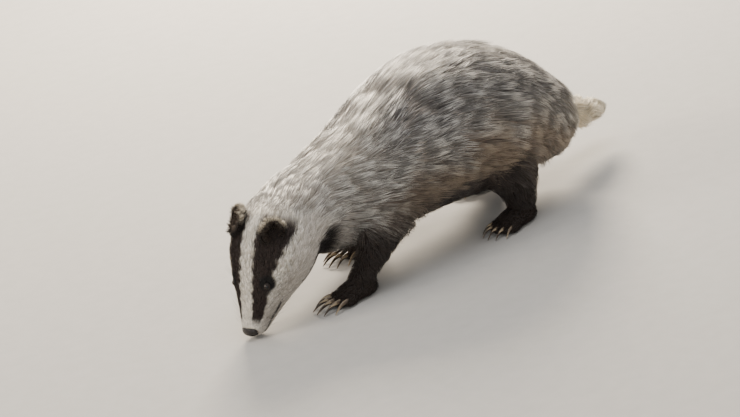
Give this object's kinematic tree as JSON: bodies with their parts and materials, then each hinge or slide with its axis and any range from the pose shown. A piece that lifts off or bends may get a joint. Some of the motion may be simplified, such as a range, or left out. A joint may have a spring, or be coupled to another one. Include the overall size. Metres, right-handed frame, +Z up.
{
  "type": "european badger",
  "caption": "Life-size still model of a standing european badger with its nose lowered to the ground, striped face and long coarse coat.",
  "frame": {"origin": "centre of the bounding box at floor level, where the soles of the paws rest", "axes": "+X is the way the badger faces, +Y its left side, +Z up from the floor"},
  "size_m": [0.7244, 0.2436, 0.261],
  "materials": {
    "white_face_fur": "matte short fur",
    "grey_guard_hair": "coarse hair with a slight sheen",
    "dark_leg_fur": "matte short fur",
    "cream_tail_fur": "coarse hair with a slight sheen",
    "ear_skin_and_fur": "matte short fur",
    "nose_skin": "moist, fine grain",
    "glass_eye": "polished"
  },
  "bodies": {
    "root": {"head": "white_face_fur", "jaw": "white_face_fur", "nose": "nose_skin", "eye_left": "glass_eye", "eye_right": "glass_eye", "ear_left": "ear_skin_and_fur", "ear_right": "ear_skin_and_fur", "neck": "grey_guard_hair", "torso": "grey_guard_hair", "tail": "cream_tail_fur", "foreleg_left": "dark_leg_fur", "foreleg_right": "dark_leg_fur", "hindleg_left": "dark_leg_fur", "hindleg_right": "dark_leg_fur", "forepaw_left": "dark_leg_fur", "forepaw_right": "dark_leg_fur", "hindpaw_left": "dark_leg_fur", "hindpaw_right": "dark_leg_fur"}
  },
  "joints": []
}
